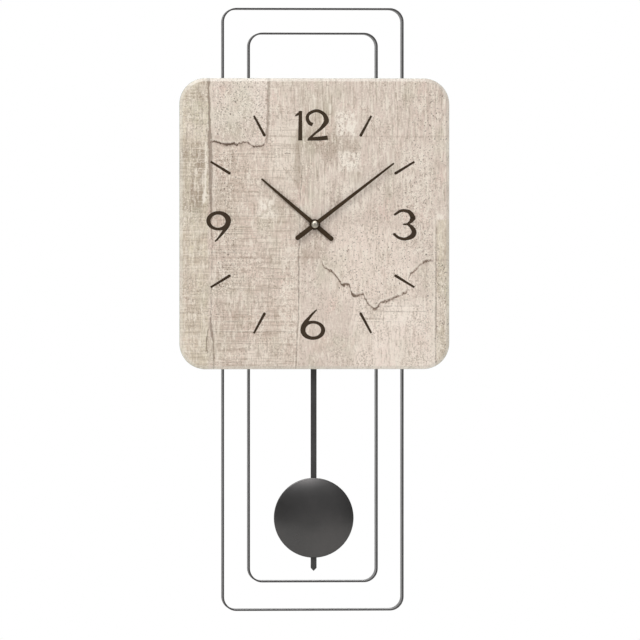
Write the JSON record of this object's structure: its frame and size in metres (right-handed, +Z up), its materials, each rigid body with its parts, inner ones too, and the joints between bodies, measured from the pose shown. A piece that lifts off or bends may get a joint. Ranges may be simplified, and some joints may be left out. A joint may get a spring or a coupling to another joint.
{
  "type": "pendulum wall clock",
  "caption": "Wall clock with a bevelled rectangular glass dial in front of two upright metal strip loops, slim hands, and a round-bob pendulum driven by a quartz movement.",
  "frame": {"origin": "centre of the keyhole's round hole in the hanger plate, on the wall plane", "axes": "+X to the viewer's right, +Y into the wall, +Z up"},
  "size_m": [0.2706, 0.0556, 0.6042],
  "materials": {
    "printed_glass": "float glass printed with a pale weathered-board pattern under a clear face",
    "foam_tape": "white foam mounting tape",
    "lacquered_board": "fibreboard in matt black lacquer",
    "case_metal": "folded sheet in graphite powder coat",
    "strip_metal": "flat strip in satin graphite powder coat",
    "zinc_steel": "bright zinc plate",
    "pad_rubber": "soft black pad",
    "black_moulding": "moulded black, fine spark texture",
    "cell_jacket": "plain printed jacket",
    "nickel_strip": "nickel-plated strip",
    "circuit_laminate": "green laminate",
    "black_epoxy": "cast black resin",
    "copper_winding": "enamelled copper wire",
    "magnet_alloy": "sintered magnet",
    "wheel_acetal": "moulded ivory acetal",
    "spring_brass": "spring-hard brass",
    "hand_paint": "stamped strip in dark brown enamel",
    "cap_silver": "satin nickel dome",
    "bob_metal": "pressed disc in satin anthracite"
  },
  "bodies": {
    "case": {"dial_glass": "printed_glass", "glass_tape": "foam_tape", "dial_board": "lacquered_board", "back_case": "case_metal", "outer_loop": "strip_metal", "inner_loop": "strip_metal", "upper_clamp_bar": "case_metal", "lower_clamp_bar": "case_metal", "clamp_spacers": "zinc_steel", "clamp_screws": "zinc_steel", "hanger_plate": "zinc_steel", "hanger_rivets": "zinc_steel", "wall_pads": "pad_rubber", "board_screws": "zinc_steel", "movement_front_shell": "black_moulding", "movement_rear_shell": "black_moulding", "movement_screws": "zinc_steel", "shell_screws": "zinc_steel", "battery_cell": "cell_jacket", "positive_contact": "nickel_strip", "negative_contact": "nickel_strip", "circuit_board": "circuit_laminate", "quartz_crystal": "zinc_steel", "control_chip": "black_epoxy", "motor_stator": "zinc_steel", "motor_coil": "copper_winding", "pendulum_drive_coil": "copper_winding", "pendulum_pivot_pin": "zinc_steel"},
    "rotor": {"motor_rotor": "magnet_alloy"},
    "intermediate": {"intermediate_wheel": "wheel_acetal"},
    "seconds": {"seconds_wheel": "wheel_acetal"},
    "third": {"third_wheel": "wheel_acetal"},
    "centre": {"centre_wheel": "wheel_acetal"},
    "minute": {"minute_shaft": "zinc_steel", "clutch_washer": "spring_brass", "minute_hand": "hand_paint", "hand_cap": "cap_silver"},
    "setting": {"minute_wheel": "wheel_acetal", "setting_knob": "black_moulding"},
    "hour": {"hour_wheel": "wheel_acetal", "hour_hand": "hand_paint"},
    "pendulum": {"pendulum_lever": "wheel_acetal", "pendulum_magnet": "magnet_alloy", "pendulum_rod": "strip_metal", "pendulum_bob": "bob_metal", "bob_bracket": "zinc_steel"}
  },
  "joints": [
    {"name": "motor_spin", "type": "hinge", "parent": "case", "child": "rotor", "pos_m": [-0.02105, -0.03, -0.05631], "axis": [0, 1, 0], "continuous": true},
    {"name": "intermediate_spin", "type": "hinge", "parent": "case", "child": "intermediate", "pos_m": [-0.0145, -0.03, -0.04849], "axis": [0, 1, 0], "continuous": true},
    {"name": "seconds_spin", "type": "hinge", "parent": "case", "child": "seconds", "pos_m": [-0.00366, -0.03, -0.04658], "axis": [0, 1, 0], "continuous": true},
    {"name": "third_spin", "type": "hinge", "parent": "case", "child": "third", "pos_m": [0.00576, -0.03, -0.05202], "axis": [0, 1, 0], "continuous": true},
    {"name": "centre_spin", "type": "hinge", "parent": "case", "child": "centre", "pos_m": [0, -0.03, -0.062], "axis": [0, 1, 0], "continuous": true},
    {"name": "minute_turn", "type": "hinge", "parent": "case", "child": "minute", "pos_m": [0, -0.03, -0.062], "axis": [0, 1, 0], "continuous": true},
    {"name": "setting_turn", "type": "hinge", "parent": "case", "child": "setting", "pos_m": [-0.006, -0.03, -0.07239], "axis": [0, 1, 0], "continuous": true},
    {"name": "hour_turn", "type": "hinge", "parent": "case", "child": "hour", "pos_m": [0, -0.03, -0.062], "axis": [0, 1, 0], "continuous": true},
    {"name": "pendulum_swing", "type": "hinge", "parent": "case", "child": "pendulum", "pos_m": [0, -0.03, -0.102], "axis": [0, 1, 0], "range_deg": [-6, 6]}
  ],
  "couplings": [
    {"joint": "intermediate_spin", "follows": "motor_spin", "ratio": -0.13333},
    {"joint": "seconds_spin", "follows": "motor_spin", "ratio": 0.033333},
    {"joint": "third_spin", "follows": "motor_spin", "ratio": -0.0044444},
    {"joint": "centre_spin", "follows": "motor_spin", "ratio": 0.00055556},
    {"joint": "setting_turn", "follows": "minute_turn", "ratio": -0.33333},
    {"joint": "hour_turn", "follows": "minute_turn", "ratio": 0.083333}
  ]
}
